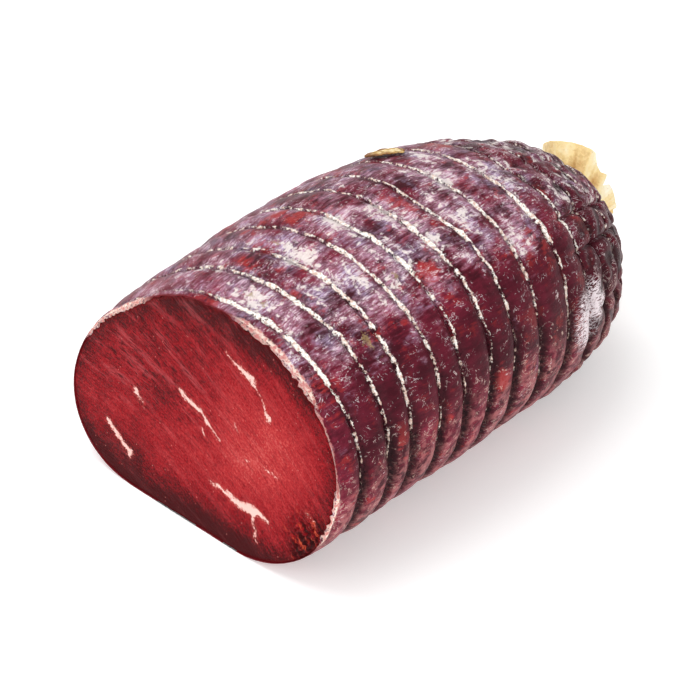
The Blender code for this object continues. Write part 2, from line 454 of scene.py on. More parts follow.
def pleat_turn(angle):
    """Turn the even columns a little, so that the pleats are uneven."""
    slow = math.sin(3.0 * angle + 0.8)
    quick = 0.5 * math.sin(5.0 * angle)
    return angle + PLEAT_UNEVEN * (slow + quick)


def skin_point(along, angle, proud):
    """Point of the roll with the soft unevenness of its surface."""
    smooth = roll_point(along, angle)
    rough = LUMP_HEIGHT * noise.noise(smooth / LUMP_SIZE + LUMP_SEED)
    return roll_point(along, angle, proud + rough)


def on_cut(point, behind=0.0):
    """The same point moved along the roll onto the plane of the cut."""
    flat = CUT_SLOPE_X * point.x + CUT_SLOPE_Z * (point.z - AXIS_HEIGHT)
    return Vector((point.x, flat + behind, point.z))


def placed(point):
    """From the roll's own place to where it lies on the ground."""
    height = max(point.z, GROUND_FLAT) - GROUND_FLAT
    return Vector((point.x, point.y, height)) + CUT_PLACE


def cut_outline(column_angle):
    """Outer edge of the cut at one column's angle."""
    angle = pleat_turn(column_angle)
    along = band_distance(0, 0.0, angle)
    proud = pinch_relief(0, 0.0, angle) + pleat_relief(along, column_angle)
    return on_cut(skin_point(along, angle, proud))


def within(span, angle, ease=5.0):
    """1 inside a span of degrees, 0 outside it and a soft change between."""
    middle = 0.5 * (span[0] + span[1])
    away = abs(math.remainder(math.degrees(angle) - middle, 360.0))
    return smooth_step(0.5 * (span[1] - span[0]) + ease, 0.5 * (span[1] - span[0]) - ease, away)


def crumb_share(angle):
    """How crumbly the casing's edge is at an angle."""
    return max(within(CREAM_EDGE, angle), within(CRUMB_EDGE, angle), within(FOLD_EDGE, angle))


def wall_at(column_angle):
    """Thickness of the casing's edge at one column's angle."""
    angle = pleat_turn(column_angle)
    turn = Vector((math.cos(angle), math.sin(angle), 0.0))
    rough = noise.noise(30.0 * turn) + 0.6 * noise.noise(75.0 * turn)
    crumbs = crumb_share(angle) * (0.50 + 0.85 * rough)
    bare = 0.35 + 0.65 * edge_paleness(angle)
    notches = abs(noise.noise(11.0 * turn)) + 0.5 * abs(noise.noise(38.0 * turn))
    notches *= JAGGED_WALL * within(JAGGED_EDGE, angle, 12.0)
    return CASING_WALL * bare * (1.0 + 0.3 * rough) + CRUMB_WALL * max(crumbs, 0.0) + notches


def inner_outline(column_angle, gap=0.0):
    """Inner edge of the casing at the cut, or a little inside it."""
    outer = cut_outline(column_angle)
    inward = Vector((outer.x, 0.0, outer.z)) - CUT_MIDDLE
    reach = inward.length
    kept = (reach - wall_at(column_angle) - gap) / reach
    return on_cut(CUT_MIDDLE + inward * kept)


def crowd(share):
    """Crowds evenly spaced shares towards both ends."""
    return share - ROW_CROWDING * math.sin(math.tau * share) / math.tau


def spot_share(kind, along, angle):
    """How strongly the marks of one kind show at a place, from 0 to 1."""
    strongest = 0.0
    for middle, degrees, half_length, half_round in SPOTS[kind]:
        away = (along / MM - middle) / half_length
        if abs(away) < SPOT_FADE:
            turn = math.remainder(angle - math.radians(degrees), math.tau)
            round_it = turn * SPOT_RADIUS / half_round
            strongest = max(strongest, bell(away) * bell(round_it))
    return strongest


def crust_width(index, angle, gain):
    """Half width of the crust along one crease, millimetres."""
    turn = Vector((7.0 * math.cos(angle), 7.0 * math.sin(angle), 5.3 * index))
    uneven = noise.noise(turn) + 0.5 * noise.noise(3.0 * turn)
    gain *= 1.0 - 0.8 * within(THIN_CRUST, angle, 8.0)
    width = CRUST_LEAST + (0.03 + CRUST_GAIN * gain) * max(0.3 + uneven, 0.0)
    for crease, start, end, half_width in CRUST_RUNS:
        if crease == index:
            width = max(width, half_width * within((start, end), angle, 7.0) * (0.7 + 0.7 * uneven))
    return width


def fine_relief(point, marks, column_angle):
    """Height of wrinkles, dimples, creases and crusts, metres; adds the knobs to the marks."""
    grid = point / MM
    dimple = noise.noise(grid / DIMPLE_SIZE + Vector((5.0, 0.0, 2.0)))
    stretched = Vector((grid.x / WRINKLE_SIZE, grid.y / WRINKLE_LENGTH, grid.z / WRINKLE_SIZE))
    wrinkle = noise.noise(stretched)
    rough = noise.noise(grid / GRIT_SIZE)
    knobs = noise.noise(grid / KNOB_SIZE + Vector((1.0, 8.0, 3.0)))
    marks["knob"] = knobs
    crust = smooth_step(0.5, -0.3, marks["mould"] - marks["crust"] * (1.0 + 0.9 * rough))
    groove = bell(marks["crease"] / CREASE_WIDTH)
    step = bell((marks["before"] - 1.0) / 0.9)
    seam = bell(math.sin(0.5 * PLEATS * column_angle) / PLEAT_SEAM)
    valley = bell(marks["crease"] / VALLEY_WIDTH)
    return (
        DIMPLE_HEIGHT * dimple
        + WRINKLE_HEIGHT * wrinkle
        + marks["far"] * (KNOB_HEIGHT * knobs - SEAM_DEPTH * seam)
        + CRUST_HEIGHT * crust * (0.8 + 0.8 * rough)
        - CREASE_DEPTH * groove * (1.0 - 0.8 * crust) * (0.5 + 0.5 * marks["side"])
        - marks["side"] * (SIDE_STEP * step + SIDE_VALLEY * valley)
    )


def casing_vertex(row, column_angle):
    """Place and pattern values of one vertex of the casing's outside."""
    band, step = divmod(row, BAND_STEPS)
    share = crowd(step / BAND_STEPS)
    angle = pleat_turn(column_angle)
    along = band_distance(band, share, angle)
    start = band_start(band, angle)
    last = band == len(PINCHES)
    end = ROLL_LENGTH if last else pinch_line(band, angle)
    before = BEYOND if band == 0 else (along - start) / MM
    after = BEYOND if last else (end - along) / MM
    turn = Vector((6.0 * math.cos(angle), 6.0 * math.sin(angle), 3.7 * band))
    behind = CRUST_BESIDE + CRUST_WANDER * noise.noise(turn)
    turn.z += 3.7
    ahead = CRUST_BESIDE + CRUST_WANDER * noise.noise(turn)
    upper = 0.5 + 0.5 * math.cos(angle - UPPER_MIDDLE)
    gain = smooth_step(0.35, 0.80, upper)
    nearer = band - 1 if before - behind < after + ahead else band
    marks = {
        "crease": min(before, after),
        "before": before,
        "mould": min(abs(before - behind), abs(after + ahead)),
        "crust": crust_width(nearer, angle, gain),
        "side": smooth_step(0.75, 0.40, upper),
        "upper": upper,
        "far": smooth_step(PLEAT_START, PLEAT_FULL, along),
        "lip": (along - cut_line(angle)) / MM,
        "pale": edge_paleness(angle),
        "crumb": crumb_share(angle),
    }
    for kind in SPOTS:
        marks[kind] = spot_share(kind, along, angle)
    proud = pinch_relief(band, share, angle) + pleat_relief(along, column_angle)
    smooth = skin_point(along, angle, proud)
    proud += smooth_step(0.0, 1.2, marks["lip"]) * fine_relief(smooth, marks, column_angle)
    return skin_point(along, angle, proud), marks


def edge_paleness(angle):
    """Paleness of the casing's edge at an angle: 1 is cream."""
    return max(
        within(CREAM_EDGE, angle),
        0.8 * within(CRUMB_EDGE, angle),
        0.55 * within(LINE_EDGE, angle),
        within(FOLD_EDGE, angle),
    )


def lip_vertex(row, column_angle):
    """Place of one vertex of the recess and the edge of the casing."""
    inner = inner_outline(column_angle)
    outer = cut_outline(column_angle)
    angle = pleat_turn(column_angle)
    ragged = noise.noise(outer / MM / 1.3) * (0.3 + 1.4 * crumb_share(angle))
    if row < FLOOR_ROWS:
        share = (row + 1) / FLOOR_ROWS
        return on_cut(CUT_MIDDLE.lerp(Vector((inner.x, 0.0, inner.z)), share), RECESS_DEPTH)
    across = (row - FLOOR_ROWS) / (LIP_ROWS - 1)
    proud = LIP_BULGE * math.sin(math.pi * across) + LIP_CRUMBS * ragged
    return on_cut(inner.lerp(outer, 0.9 * across), -proud)


def map_globe(shape, columns, rows, place, ends):
    """Moves a globe's vertices; rows count from its first pole."""
    for vertex in shape.verts:
        height = min(max(vertex.co.z, -1.0), 1.0)
        ring = round(math.acos(height) * (rows + 1) / math.pi)
        if ring == 0:
            place(vertex, ends[0], None)
        elif ring == rows + 1:
            place(vertex, ends[1], None)
        else:
            turn = math.atan2(vertex.co.y, vertex.co.x)
            column = round(turn * columns / math.tau)
            place(vertex, ring - 1, math.tau * column / columns)


def check_closed(shape, name):
    """Stops the build when a solid piece is open or inside out."""
    if not all(edge.is_manifold for edge in shape.edges) or shape.calc_volume(signed=True) <= 0.0:
        raise RuntimeError(name + " is open or inside out")


def show(name, data):
    """Puts a mesh, light or camera into the scene."""
    thing = bpy.data.objects.new(name, data)
    bpy.context.scene.collection.objects.link(thing)
    return thing


def finish_piece(shape, name, replaced, material):
    """Turns a bmesh into a smooth piece that rides on the roll's body."""
    mesh = bpy.data.meshes.new(name)
    for face in shape.faces:
        face.smooth = True
    shape.to_mesh(mesh)
    shape.free()
    mesh.materials.append(material)
    piece = show(name, mesh)
    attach(piece, "root")
    if replaced:
        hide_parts(replaced)
    return piece


class Nodes:
    """Short ways to add and join a material's nodes."""

    def __init__(self, name):
        self.material = bpy.data.materials.new(name)
        self.material.use_nodes = True
        self.tree = self.material.node_tree
        self.shader = self.tree.nodes["Principled BSDF"]

    def add(self, kind, inputs=(), **settings):
        """A node with its settings; inputs are pairs of socket and value."""
        node = self.tree.nodes.new(kind)
        for key, value in settings.items():
            setattr(node, key, value)
        for socket, value in inputs:
            self.put(node.inputs[socket], value)
        return node

    def put(self, socket, value):
        """Joins an output to a socket or sets the socket's value."""
        if isinstance(value, bpy.types.NodeSocket):
            self.tree.links.new(value, socket)
        else:
            socket.default_value = value

    def vector(self, operation, first, second):
        """One sum, difference or product of vectors; SCALE takes a number."""
        socket = 3 if operation == "SCALE" else 1
        return self.add(
            "ShaderNodeVectorMath", [(0, first), (socket, second)], operation=operation
        ).outputs[0]

    def millimetres(self, stretch=(1.0, 1.0, 1.0), shift=(0.0, 0.0, 0.0)):
        """Object coordinates in millimetres, shifted and stretched."""
        coordinates = self.add("ShaderNodeTexCoord").outputs["Object"]
        moved = self.vector("ADD", self.vector("SCALE", coordinates, 1.0 / MM), shift)
        return self.vector("MULTIPLY", moved, stretch)

    def noise(self, vector, size, detail=2.0, roughness=0.5, distortion=0.0):
        """Noise whose features are about size millimetres."""
        inputs = [("Vector", vector), ("Scale", 1.0 / size), ("Detail", detail)]
        inputs += [("Roughness", roughness), ("Distortion", distortion)]
        return self.add("ShaderNodeTexNoise", inputs).outputs["Fac"]

    def warp(self, vector, size, amount):
        """The same coordinates pushed about by noise, millimetres."""
        push = self.add("ShaderNodeTexNoise", [("Vector", vector), ("Scale", 1.0 / size), ("Detail", 1.0)])
        middle = self.vector("SUBTRACT", push.outputs["Color"], (0.5, 0.5, 0.5))
        return self.vector("ADD", vector, self.vector("SCALE", middle, 2.0 * amount))

    def cells(self, vector, size):
        """Distance from the middles of random cells, in cell sizes."""
        return self.add(
            "ShaderNodeTexVoronoi", [("Vector", vector), ("Scale", 1.0 / size)]
        ).outputs["Distance"]

    def attribute(self, name):
        """A value stored at the piece's vertices."""
        return self.add("ShaderNodeAttribute", attribute_name=name).outputs["Fac"]

    def math(self, operation, first, second=0.0, clamp=False):
        """One sum, product or the like."""
        return self.add(
            "ShaderNodeMath", [(0, first), (1, second)], operation=operation, use_clamp=clamp
        ).outputs[0]

    def times(self, first, second):
        """Product of two values."""
        return self.math("MULTIPLY", first, second)

    def total(self, *parts):
        """Sum of values with weights."""
        summed = None
        for value, weight in parts:
            part = value * weight if isinstance(value, float) else self.times(value, weight)
            summed = part if summed is None else self.math("ADD", summed, part)
        return summed

    def step(self, value, low, high):
        """0 at low, 1 at high, with a smooth rise or fall between."""
        return self.add(
            "ShaderNodeMapRange",
            [("Value", value), ("From Min", low), ("From Max", high)],
            interpolation_type="SMOOTHSTEP",
        ).outputs[0]

    def mix(self, share, first, second, blend="MIX"):
        """Blend of two colours."""
        return self.add(
            "ShaderNodeMix",
            [(0, share), (6, first), (7, second)],
            data_type="RGBA",
            blend_type=blend,
        ).outputs[2]

    def paint(self, under, over, share, weight):
        """A colour painted over another by a share times a weight."""
        return self.mix(self.times(share, weight), under, over)

    def blend(self, share, first, second):
        """Blend of two numbers."""
        return self.add("ShaderNodeMix", [(0, share), (2, first), (3, second)]).outputs[0]

    def ramp(self, value, stops):
        """Colours along a value."""
        node = self.add("ShaderNodeValToRGB", [(0, value)])
        elements = node.color_ramp.elements
        while len(elements) < len(stops):
            elements.new(0.5)
        for element, (place, colour) in zip(elements, stops):
            element.position = place
            element.color = colour
        return node.outputs[0]

    def bump(self, height, distance, strength=1.0):
        """Fine relief for the shader; height 1 is distance metres high."""
        node = self.add(
            "ShaderNodeBump",
            [("Height", height), ("Distance", distance), ("Strength", strength)],
        )
        self.put(self.shader.inputs["Normal"], node.outputs[0])

    def set(self, **values):
        """Values of the shader's own sockets, with spaces for underscores."""
        for key, value in values.items():
            self.put(self.shader.inputs[key.replace("_", " ")], value)


def casing_material(look):
    """Mould-bloomed purple casing with cream crusts along its creases, and painted shade in its creases and
    hollows.
    """
    nodes = Nodes("cured_casing")
    plain = nodes.millimetres()
    bent = nodes.warp(plain, 9.0, 1.0)
    lengthwise = nodes.vector("MULTIPLY", bent, (1.0, 0.17, 1.0))
    wide = nodes.noise(plain, 22.0, 3.0)
    middling = nodes.noise(bent, 7.0, 4.0, 0.6)
    patches = nodes.noise(nodes.millimetres(shift=(40.0, 11.0, 7.0)), 9.0, 5.0, 0.62)
    small = nodes.noise(plain, 1.3, 3.0, 0.6)
    streaks = nodes.noise(lengthwise, 1.5, 5.0, 0.7)
    hairs = nodes.noise(lengthwise, 0.45, 3.0, 0.65, 0.3)
    mark = {name: nodes.attribute(name) for name in CASING_MARKS}

    tone = nodes.total((wide, 0.8), (middling, 0.9), (streaks, 0.7), (0.5, -1.9))
    colour = nodes.ramp(
        tone, ((0.08, look.deep), (0.50, look.casing), (0.78, look.mauve))
    )
    rosy = nodes.noise(nodes.millimetres(shift=(7.0, 3.0, 90.0)), 8.0, 5.0, 0.65)
    red = nodes.total((rosy, 1.0), (mark["red"], 0.20), (streaks, 0.6), (0.5, -0.6))
    red = nodes.step(red, 0.55, 0.72)
    colour = nodes.paint(colour, look.red, red, 0.8)
    flesh = nodes.noise(nodes.millimetres(shift=(21.0, 5.0, 3.0)), 3.2, 5.0, 0.65)
    low = nodes.step(mark["upper"], 0.52, 0.30)
    flesh = nodes.times(nodes.step(flesh, 0.44, 0.60), low)
    colour = nodes.paint(colour, look.flesh, flesh, 0.60)
    belt = nodes.times(
        nodes.step(mark["upper"], 0.42, 0.54), nodes.step(mark["upper"], 0.82, 0.70)
    )
    belt = nodes.times(belt, nodes.blend(nodes.step(mark["lip"], 4.0, 10.0), 0.25, 1.0))
    colour = nodes.paint(colour, look.deep, belt, 0.62)
    # Painted shade darkens the lower side a little, and the colour darkens towards the closed end.
    side_shade_and_dark_end = nodes.total((mark["side"], 0.02), (mark["far"], 0.36))
    colour = nodes.mix(side_shade_and_dark_end, colour, look.deep)

    # The bloom gathers on the upper side: partly the mould's own bloom, partly painted sheen of the light
    # from above.
    top_bloom_and_sheen = nodes.step(mark["upper"], 0.58, 0.90)
    cloud = nodes.total(
        (patches, 1.2), (streaks, 0.70), (0.5, -1.30), (top_bloom_and_sheen, 0.25), (belt, -0.08), (red, -0.12),
        (mark["white"], 0.24), (mark["far"], -0.06),
    )
    veil = nodes.blend(nodes.step(nodes.noise(lengthwise, 0.8, 4.0, 0.7), 0.38, 0.62), 0.22, 1.0)
    haze = nodes.times(nodes.step(cloud, 0.40, 0.84), nodes.times(veil, look.bloom_share))
    cool = nodes.noise(nodes.millimetres(shift=(60.0, 2.0, 30.0)), 13.0, 4.0, 0.6)
    cool = nodes.step(cool, 0.46, 0.60)
    bloom_colour = nodes.mix(cool, look.bloom, look.cool)
    colour = nodes.mix(haze, colour, bloom_colour)
    dusting = nodes.total(
        (hairs, 1.0), (haze, 0.17), (middling, 0.5), (belt, -0.06), (mark["side"], -0.035), (0.5, -0.5)
    )
    hair = nodes.step(dusting, 0.62, 0.72)
    colour = nodes.paint(colour, look.hair, hair, 0.60)
    flakes = nodes.noise(bent, 3.0, 6.0, 0.72, 0.4)
    flaky = nodes.total(
        (flakes, 1.0), (cloud, 0.45), (mark["white"], 0.06), (mark["far"], 0.10), (0.5, -0.50)
    )
    core = nodes.step(flaky, 0.61, 0.70)
    colour = nodes.paint(colour, look.flake, core, 0.80)
    strand = nodes.noise(nodes.millimetres(shift=(3.0, 31.0, 17.0)), 5.0, 3.0, 0.6, 1.6)
    strand = nodes.math("ABSOLUTE", nodes.math("SUBTRACT", strand, 0.5))
    strand = nodes.step(strand, nodes.blend(mark["side"], 0.012, 0.024), 0.004)
    broken = nodes.total(
        (nodes.noise(plain, 2.6, 3.0, 0.6), 1.0), (middling, 0.6), (0.5, -0.6),
        (mark["far"], 0.07), (mark["side"], 0.05),
    )
    strand = nodes.times(strand, nodes.step(broken, 0.54, 0.64))
    strand_colour = nodes.mix(mark["side"], look.hair, look.crust_shade)
    colour = nodes.paint(colour, strand_colour, strand, 0.62)
    brushed = nodes.total((mark["frost"], 0.30), (hairs, 1.9), (0.5, -0.88))
    frost = nodes.times(nodes.step(brushed, 0.54, 0.72), nodes.step(mark["frost"], 0.05, 0.35))
    colour = nodes.paint(colour, look.hair, frost, 0.85)
    olive = nodes.step(nodes.total((mark["olive"], 0.36), (small, 1.0), (hairs, 0.4)), 0.92, 1.06)
    colour = nodes.paint(colour, look.olive, olive, 0.7)

    # Painted shade: the colour darkens in and just beside the creases, most on the lower side, where the
    # bands dip in and overlap.
    mottle = nodes.step(small, 0.38, 0.60)
    groove = nodes.times(nodes.step(mark["before"], 3.6, 1.2), mark["side"])
    groove = nodes.times(groove, nodes.blend(mottle, 1.0, 0.80))
    fold = nodes.times(nodes.step(mark["crease"], 0.7, 0.1), nodes.blend(mark["side"], 0.45, 0.85))
    valley = nodes.times(nodes.step(mark["crease"], 3.4, 0.2), nodes.blend(mark["side"], 0.16, 0.42))
    dark = nodes.math("MAXIMUM", nodes.math("MAXIMUM", groove, fold), valley)
    dark = nodes.times(dark, nodes.blend(nodes.step(mark["frost"], 0.1, 0.5), 1.0, 0.25))
    colour = nodes.mix(dark, colour, look.crease)

    ragged = nodes.noise(bent, 2.4, 4.0, 0.65)
    rough = nodes.total((small, 1.5), (ragged, 2.2), (0.5, -3.7))
    rough = nodes.times(rough, nodes.blend(mark["side"], 1.0, 0.45))
    edge = nodes.total(
        (mark["mould"], 1.0), (rough, 1.0), (mark["crust"], -1.1), (mark["far"], 0.22), (mark["side"], 0.07)
    )
    crust = nodes.step(edge, 0.12, -0.14)
    pale = nodes.total(
        (nodes.noise(plain, 0.9, 3.0, 0.6), 1.0), (mark["crust"], 0.12), (mark["side"], -0.10), (0.5, -0.14)
    )
    crust_colour = nodes.ramp(pale, ((0.36, look.crust_shade), (0.54, look.crust)))
    colour = nodes.mix(crust, colour, crust_colour)
    near = nodes.times(nodes.step(mark["crease"], 2.0, 1.1), nodes.step(ragged, 0.42, 0.52))
    dots = nodes.step(nodes.cells(nodes.millimetres(stretch=(0.7, 1.3, 0.7)), 0.75), 0.34, 0.22)
    specks = nodes.times(near, dots)
    colour = nodes.paint(colour, look.crease, specks, 0.9)
    # Painted shade in the hollows between the knobs of the closed end.
    knob = nodes.times(mark["far"], nodes.step(mark["knob"], -0.05, -0.45))
    colour = nodes.paint(colour, look.crease, knob, 0.75)
    raw = nodes.times(nodes.step(mark["lip"], 0.9, 0.1), nodes.math("SUBTRACT", 1.0, mark["pale"]))
    colour = nodes.paint(colour, look.raw, raw, 0.9)

    rim = nodes.total((mark["lip"], 1.0), (small, 3.0), (0.5, -3.0), (mark["crumb"], -1.1))
    rim = nodes.times(nodes.step(rim, 0.35, -0.15), mark["pale"])
    rim_colour = nodes.mix(nodes.step(small, 0.40, 0.56), look.rim_shade, look.rim)
    colour = nodes.mix(rim, colour, rim_colour)

    roughness = nodes.blend(crust, nodes.blend(haze, 0.40, 0.58), 0.85)
    height = nodes.total((streaks, 0.6), (small, 0.5), (crust, 0.6), (hair, 0.1), (specks, -0.6))
    nodes.bump(height, 0.35 * MM)
    nodes.set(Base_Color=colour, Roughness=roughness, Specular_IOR_Level=0.08)
    return nodes.material


def lean_material(look):
    """Moist crimson lean meat with fine fibres and fat streaks."""
    nodes = Nodes("cut_lean")
    plain = nodes.millimetres()
    flow = nodes.add("ShaderNodeAttribute", attribute_name="flow").outputs["Vector"]

    def along_fibres(stretch):
        return nodes.vector("MULTIPLY", flow, (stretch, 1.0, 1.0))

    fibres = nodes.noise(along_fibres(0.26), 0.8, 4.0, 0.7)
    bands = nodes.noise(along_fibres(0.16), 4.0, 4.0, 0.65)
    threads = nodes.noise(along_fibres(0.13), 0.55, 2.0, 0.5, 0.6)
    clouds = nodes.noise(plain, 13.0, 3.0)
    grain = nodes.noise(plain, 0.7, 4.0, 0.7)
    mark = {name: nodes.attribute(name) for name in LEAN_MARKS}

    tone = nodes.total(
        (mark["bright"], 1.0), (clouds, 0.45), (bands, 0.50), (fibres, 0.62), (grain, 1.30), (0.5, -2.87)
    )
    colour = nodes.ramp(
        tone,
        (
            (0.02, look.dark),
            (0.38, look.lean),
            (0.74, look.bright),
            (1.0, look.pale),
        ),
    )
    sheen = nodes.times(nodes.step(bands, 0.50, 0.68), mark["lined"])
    colour = nodes.paint(colour, look.sheen, sheen, 0.34)
    lines = nodes.times(nodes.step(threads, 0.44, 0.35), mark["lined"])
    colour = nodes.paint(colour, look.dark, lines, 0.9)
    dots = nodes.step(nodes.cells(plain, 2.1), 0.15, 0.07)
    few = nodes.step(nodes.noise(nodes.millimetres(shift=(9.0, 0.0, 5.0)), 7.0, 2.0), 0.50, 0.60)
    specks = nodes.times(nodes.times(dots, few), 0.5)
    colour = nodes.mix(specks, colour, look.fat_edge)

    edge = nodes.total((mark["fat"], 1.0), (grain, 3.0), (fibres, 2.6), (0.5, -5.6))
    white = nodes.step(edge, -0.02, 0.38)
    halo = nodes.step(edge, -1.3, 0.2)
    colour = nodes.paint(colour, look.pale, halo, 0.18)
    fat_colour = nodes.mix(nodes.step(edge, 0.1, 0.7), look.fat_edge, look.fat)
    colour = nodes.mix(white, colour, fat_colour)
    shreds = nodes.noise(along_fibres(0.35), 2.1, 4.0, 0.65)
    # Painted shade: the gashes of the torn spot are painted near black.
    ragged = nodes.times(mark["torn"], nodes.step(shreds, 0.56, 0.44))
    # Painted glow: thin bits of the torn spot are painted bright orange, as light shining through them.
    glow = nodes.times(mark["torn"], nodes.step(shreds, 0.56, 0.66))
    colour = nodes.paint(colour, look.torn, ragged, 0.85)
    colour = nodes.paint(colour, look.torn_highlight, glow, 0.7)
    outer = nodes.step(nodes.total((mark["rim"], 1.0), (grain, 1.0), (0.5, -1.0)), 1.2, 0.1)
    colour = nodes.paint(colour, look.edge, outer, 0.5)

    nodes.bump(nodes.total((fibres, 0.9), (grain, 0.5), (white, 0.25), (lines, -0.8)), 0.26 * MM)
    roughness = nodes.blend(white, nodes.blend(grain, 0.34, 0.50), 0.42)
    nodes.set(Base_Color=colour, Roughness=roughness, Specular_IOR_Level=0.05)
    nodes.set(Subsurface_Weight=0.10, Subsurface_Scale=0.0012, Subsurface_Radius=(1.0, 0.25, 0.2))
    return nodes.material


def dry_material(look):
    """Thin dried casing: pale cream yellow with amber folds, partly painted shade."""
    nodes = Nodes("dry_casing")
    plain = nodes.millimetres()
    clouds = nodes.noise(plain, 6.0, 3.0)
    veins = nodes.noise(plain, 1.2, 3.0, 0.6, 0.8)
    root = nodes.attribute("root")
    fold = nodes.attribute("fold")
    tone = nodes.math("ADD", nodes.times(clouds, 0.5), nodes.times(veins, 0.25))
    tone = nodes.math("SUBTRACT", tone, nodes.times(root, 0.30))
    # The fold values carry the folds' amber, painted shade in the ruffles' hollows and painted light on a
    # shaded part of the tail.
    tone = nodes.math("SUBTRACT", tone, nodes.times(fold, 0.10))
    colour = nodes.ramp(
        nodes.math("ADD", tone, 0.05),
        (
            (0.0, look.brown),
            (0.14, look.amber),
            (0.34, look.dry),
            (0.60, look.cream),
        ),
    )
    spots = nodes.step(nodes.noise(plain, 1.0, 3.0, 0.6), 0.60, 0.72)
    colour = nodes.paint(colour, look.amber, spots, 0.55)
    nodes.bump(nodes.math("ADD", nodes.times(veins, 0.6), clouds), 0.3 * MM)
    nodes.set(Base_Color=colour, Roughness=0.5, Specular_IOR_Level=0.4)
    nodes.set(Subsurface_Weight=0.35, Subsurface_Scale=0.002, Subsurface_Radius=(1.0, 0.75, 0.45))
    return nodes.material


def colour_value(name, description, screen):
    """A colour setting from values of 0 to 255 as a screen shows them."""
    return bpy.props.FloatVectorProperty(
        name=name, description=description, subtype="COLOR", size=4, min=0.0, max=1.0, default=tint(*screen)
    )


class BresaolaCasingLook(bpy.types.PropertyGroup):
    """Colours of the casing."""

    casing: colour_value("Casing", "Plain purple casing", (134, 38, 60))
    deep: colour_value("Deep", "Darkest casing", (62, 13, 25))
    mauve: colour_value("Mauve", "Palest plain casing", (168, 70, 104))
    red: colour_value("Red", "Places where the lean shows through", (164, 48, 46))
    flesh: colour_value("Flesh", "Pinkish places low on the side", (184, 112, 112))
    bloom: colour_value("Bloom", "Lilac mould bloom", (204, 158, 182))
    cool: colour_value("Cool bloom", "Bluish grey mould bloom", (182, 160, 192))
    flake: colour_value("Flakes", "Ragged creamy patches of bloom", (236, 226, 220))
    hair: colour_value("Hairs", "Fine white lengthwise streaks", (240, 228, 232))
    olive: colour_value("Olive", "Olive brown mould spots", (150, 126, 84))
    crust: colour_value("Crust", "Cream crust along the creases", (255, 250, 243))
    crust_shade: colour_value("Crust shade", "Darker crust", (214, 182, 166))
    # The crease colour is painted shade in the creases and between the knobs, and also the colour of the
    # real black specks.
    crease: colour_value("Crease", "Creases and black specks", (34, 14, 18))
    rim: colour_value("Rim", "Edge of the casing at the cut", (252, 230, 214))
    raw: colour_value("Raw edge", "Thin red edge where the casing is bare", (116, 22, 30))
    rim_shade: colour_value("Rim shade", "Darker crumbs of that edge", (206, 132, 126))
    bloom_share: bpy.props.FloatProperty(
        name="Bloom share", description="How much bloom lies on the casing", default=0.92, min=0.0, max=1.0
    )


class BresaolaLeanLook(bpy.types.PropertyGroup):
    """Colours of the cut end."""

    lean: colour_value("Lean", "Lean meat", (144, 16, 26))
    bright: colour_value("Bright lean", "Brightest lean meat", (182, 50, 52))
    sheen: colour_value("Sheen", "Dull pink sheen along the fibres", (176, 88, 92))
    pale: colour_value("Pale lean", "Palest lean meat", (202, 92, 86))
    dark: colour_value("Dark lean", "Dry dark lean near the edge", (66, 5, 10))
    edge: colour_value("Edge", "Rim of the cut", (108, 12, 18))
    fat: colour_value("Fat", "Fat streaks", (244, 200, 190))
    fat_edge: colour_value("Fat edge", "Edges of the fat streaks", (222, 132, 124))
    # Painted shade in the gashes of the torn spot.
    torn: colour_value("Torn spot", "Broken place near the edge", (36, 8, 8))
    # Painted glow of light through the torn spot's thin bits.
    torn_highlight: colour_value("Torn bits", "Thin bright bits of the torn spot", (216, 92, 58))


class BresaolaDryLook(bpy.types.PropertyGroup):
    """Colours of the dry tail and flap."""

    dry: colour_value("Dry casing", "Dry casing", (242, 214, 160))
    cream: colour_value("Cream", "Palest dry casing", (254, 243, 218))
    brown: colour_value("Brown", "Darkest ends of the flap", (140, 92, 50))
    amber: colour_value("Amber", "Folds and root of the tail", (192, 154, 90))


class BresaolaStageLook(bpy.types.PropertyGroup):
    """Floor, light and camera."""

    floor: colour_value("Floor", "Plain pale floor", (246, 246, 246))
    lens: bpy.props.FloatProperty(
        name="Lens", description="Focal length of the camera", default=CAMERA_LENS, min=20.0, unit="CAMERA"
    )
    distance: bpy.props.FloatProperty(
        name="Distance", description="Camera to aim point", default=CAMERA_DISTANCE, min=0.2, unit="LENGTH"
    )


class BRESAOLA_OT_casing(bpy.types.Operator):
    """Build the casing with its bands, creases and pleats"""

    bl_idname = "bresaola.casing"
    bl_label = "Casing"

    def execute(self, context):
        ends = FLOOR_ROWS + LIP_ROWS
        rows = ends + BAND_STEPS * (len(PINCHES) + 1) - 1
        shape = bmesh.new()
        bmesh.ops.create_uvsphere(
            shape, u_segments=CASING_COLUMNS, v_segments=rows + 1, radius=1.0
        )
        layers = {name: shape.verts.layers.float.new(name) for name in CASING_MARKS}
        floor_middle = on_cut(CUT_MIDDLE, RECESS_DEPTH)

        def place(vertex, row, column_angle):
            if column_angle is None:
                vertex.co = placed(row)
                values = {**NO_CREASE, "far": 1.0, "lip": BEYOND}
            elif row < ends:
                vertex.co = placed(lip_vertex(row, column_angle))
                pale = edge_paleness(pleat_turn(column_angle))
                values = {**NO_CREASE, "upper": 0.8, "pale": pale}
            else:
                point, values = casing_vertex(row - ends + 1, column_angle)
                vertex.co = placed(point)
            for name, value in values.items():
                vertex[layers[name]] = value

        tip = roll_point(ROLL_LENGTH, 0.0)
        map_globe(shape, CASING_COLUMNS, rows, place, (floor_middle, tip))
        material = casing_material(context.scene.bresaola_casing)
        check_closed(shape, "casing_roll")
        finish_piece(shape, "casing_roll", "cured_beef", material)
        return {"FINISHED"}


